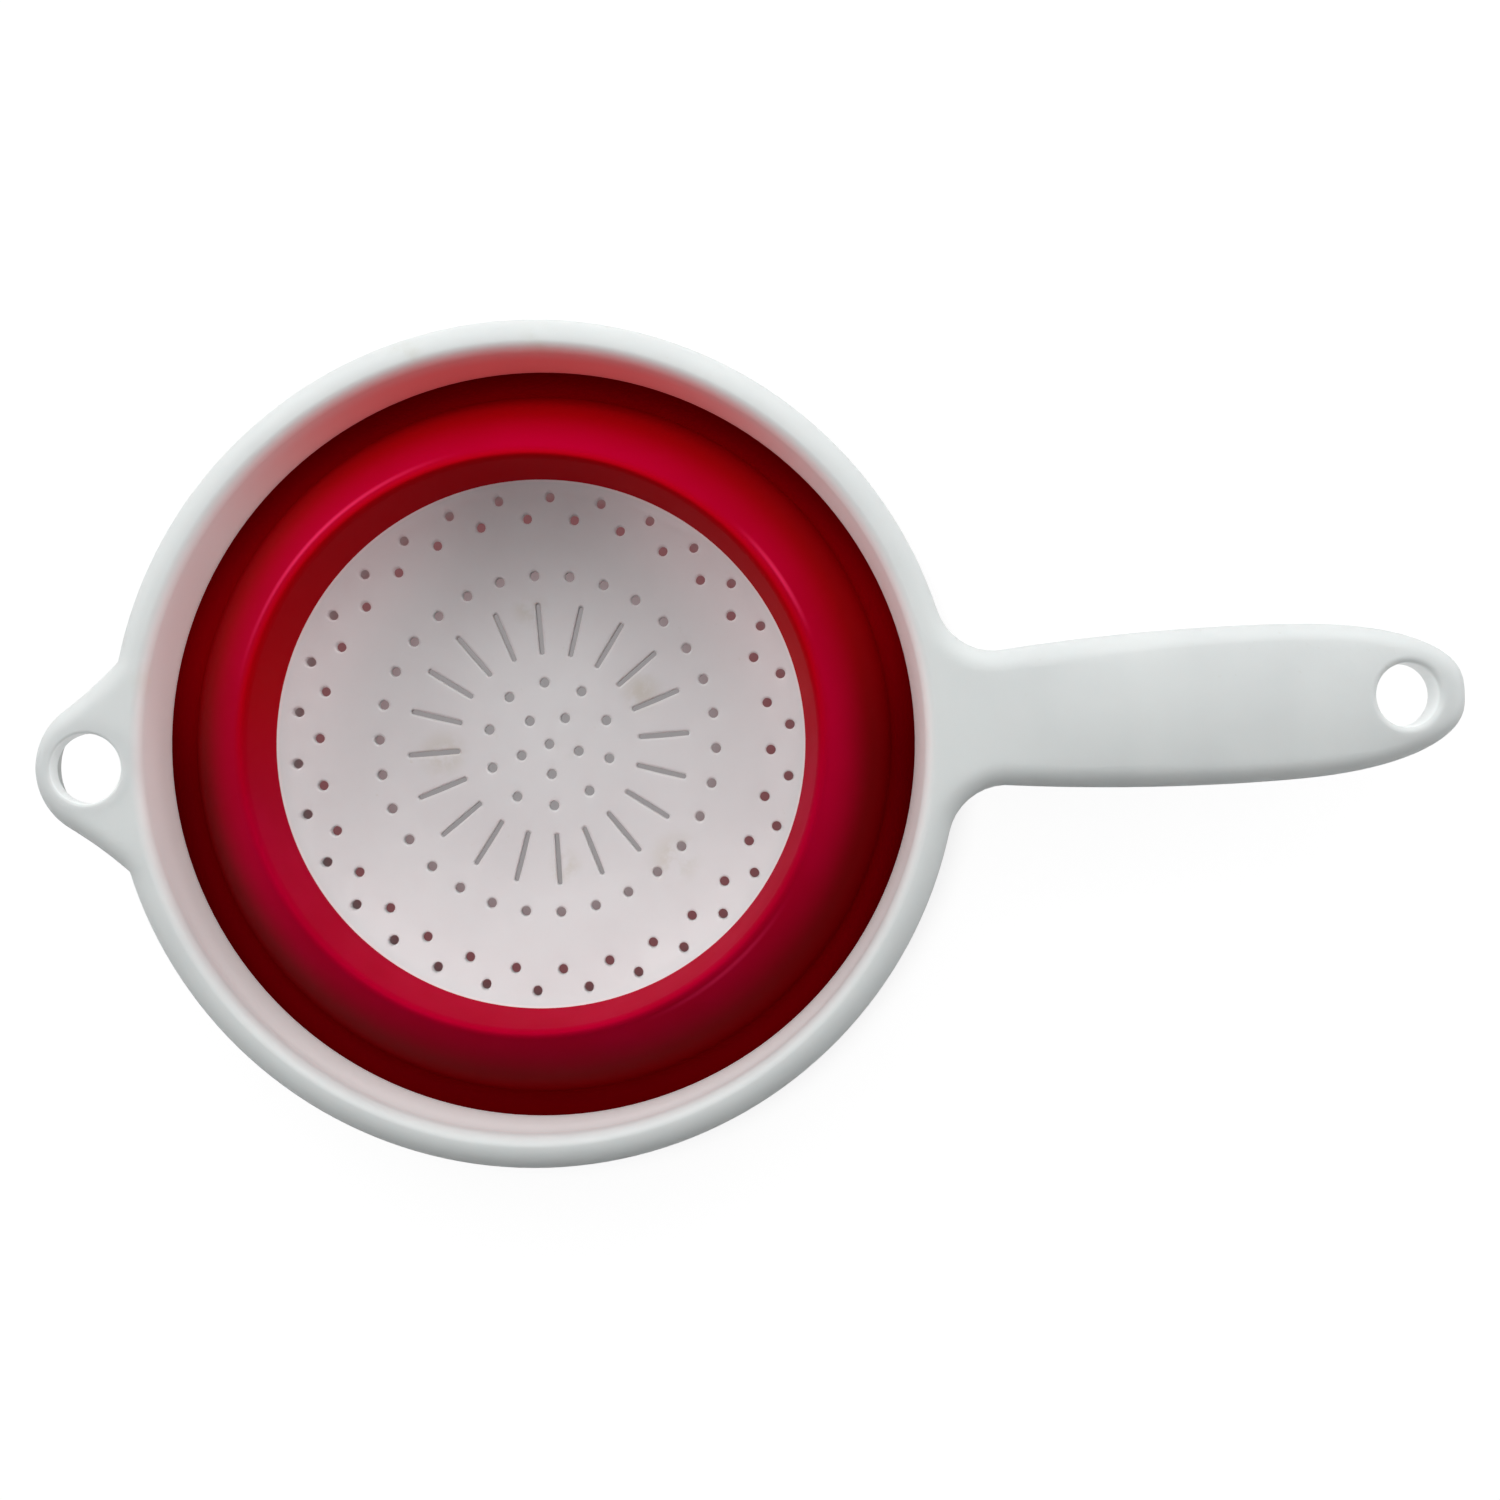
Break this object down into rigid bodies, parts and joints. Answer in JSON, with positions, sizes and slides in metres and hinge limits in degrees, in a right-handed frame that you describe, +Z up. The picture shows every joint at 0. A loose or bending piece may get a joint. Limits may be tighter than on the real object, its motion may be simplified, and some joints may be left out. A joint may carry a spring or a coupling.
{
  "type": "collapsible colander",
  "caption": "Round collapsible colander with a rigid rim, flat handle, hanging ear, soft folding wall and perforated strainer base, folded flat.",
  "frame": {"origin": "on the surface that the foot ring stands on, at the middle of the overall length and width; the bowl's axis is 50.9 mm towards -X", "axes": "+X along the handle, away from the bowl; +Z up, out of the bowl's mouth; +Y to the left of the handle"},
  "size_m": [0.3368, 0.2, 0.0382],
  "materials": {
    "frame": "satin moulded plastic",
    "wall": "satin soft elastomer",
    "base": "satin moulded plastic"
  },
  "bodies": {
    "frame": {"frame": "frame", "wall_upper": "wall"},
    "base": {"base": "base", "wall_lower": "wall"},
    "fold_1": {"wall_fold_1": "wall"},
    "fold_2": {"wall_fold_2": "wall"},
    "fold_3": {"wall_fold_3": "wall"},
    "fold_4": {"wall_fold_4": "wall"},
    "fold_5": {"wall_fold_5": "wall"},
    "fold_6": {"wall_fold_6": "wall"},
    "fold_7": {"wall_fold_7": "wall"},
    "fold_8": {"wall_fold_8": "wall"}
  },
  "joints": [
    {"name": "collapse", "type": "slide", "parent": "frame", "child": "base", "axis": [0, 0, -1], "range_m": [0, 0.0456]},
    {"name": "fold_1_slide", "type": "slide", "parent": "frame", "child": "fold_1", "axis": [0, 0, -1], "range_m": [0, 0.00285]},
    {"name": "fold_2_slide", "type": "slide", "parent": "frame", "child": "fold_2", "axis": [0, 0, -1], "range_m": [0, 0.00855]},
    {"name": "fold_3_slide", "type": "slide", "parent": "frame", "child": "fold_3", "axis": [0, 0, -1], "range_m": [0, 0.01425]},
    {"name": "fold_4_slide", "type": "slide", "parent": "frame", "child": "fold_4", "axis": [0, 0, -1], "range_m": [0, 0.01995]},
    {"name": "fold_5_slide", "type": "slide", "parent": "frame", "child": "fold_5", "axis": [0, 0, -1], "range_m": [0, 0.02565]},
    {"name": "fold_6_slide", "type": "slide", "parent": "frame", "child": "fold_6", "axis": [0, 0, -1], "range_m": [0, 0.03135]},
    {"name": "fold_7_slide", "type": "slide", "parent": "frame", "child": "fold_7", "axis": [0, 0, -1], "range_m": [0, 0.03705]},
    {"name": "fold_8_slide", "type": "slide", "parent": "frame", "child": "fold_8", "axis": [0, 0, -1], "range_m": [0, 0.04275]}
  ],
  "couplings": [
    {"joint": "fold_1_slide", "follows": "collapse", "ratio": 0.0625},
    {"joint": "fold_2_slide", "follows": "collapse", "ratio": 0.1875},
    {"joint": "fold_3_slide", "follows": "collapse", "ratio": 0.3125},
    {"joint": "fold_4_slide", "follows": "collapse", "ratio": 0.4375},
    {"joint": "fold_5_slide", "follows": "collapse", "ratio": 0.5625},
    {"joint": "fold_6_slide", "follows": "collapse", "ratio": 0.6875},
    {"joint": "fold_7_slide", "follows": "collapse", "ratio": 0.8125},
    {"joint": "fold_8_slide", "follows": "collapse", "ratio": 0.9375}
  ]
}
